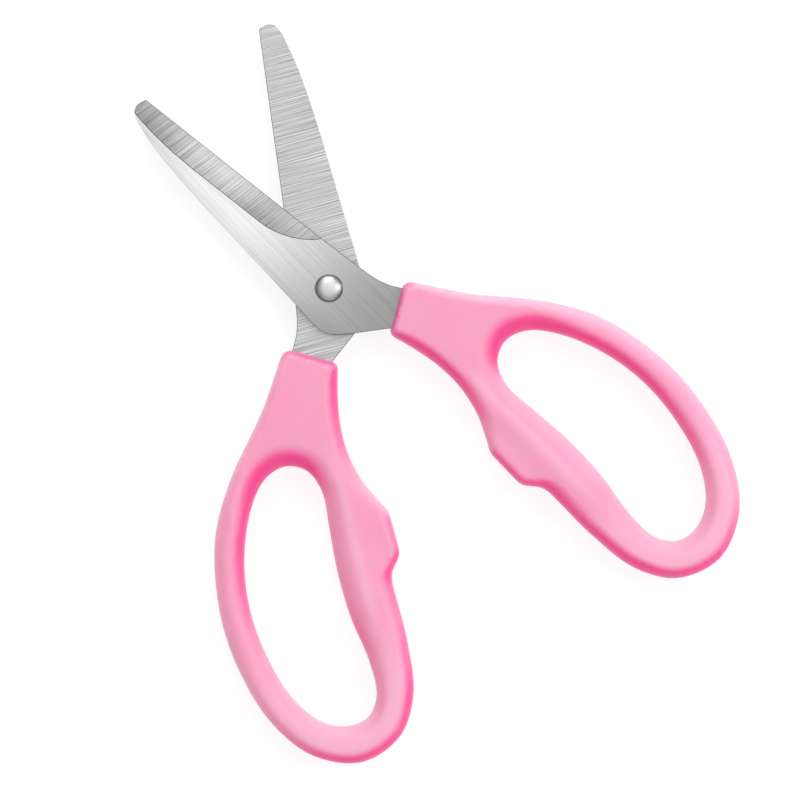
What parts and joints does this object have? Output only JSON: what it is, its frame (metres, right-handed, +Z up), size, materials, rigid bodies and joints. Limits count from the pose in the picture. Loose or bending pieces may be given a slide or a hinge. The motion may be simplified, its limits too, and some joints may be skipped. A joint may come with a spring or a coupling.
{
  "type": "floral snips",
  "caption": "Hand snips for cutting flowers: crossed bevel-ground steel blades that turn on a domed rivet, each with a moulded plastic finger loop and a closing stop.",
  "frame": {"origin": "on the surface the snips lie on, under the middle of their bounding box", "axes": "+Y from the finger loops to the blade tips, +Z up along the rivet's axis and out of the domed head's side, +X towards the right handle"},
  "size_m": [0.1342, 0.1726, 0.011],
  "materials": {
    "blade_steel": "satin",
    "rivet_steel": "polished",
    "handle_plastic": "matte"
  },
  "bodies": {
    "rear_half": {"rear_blade": "blade_steel", "left_handle": "handle_plastic", "pivot_rivet": "rivet_steel", "rivet_washer": "rivet_steel"},
    "front_half": {"front_blade": "blade_steel", "right_handle": "handle_plastic"}
  },
  "joints": [
    {"name": "blade_pivot", "type": "hinge", "parent": "rear_half", "child": "front_half", "pos_m": [0, 0.02118, 0.0055], "axis": [0, 0, 1], "range_deg": [-29, 74]}
  ]
}
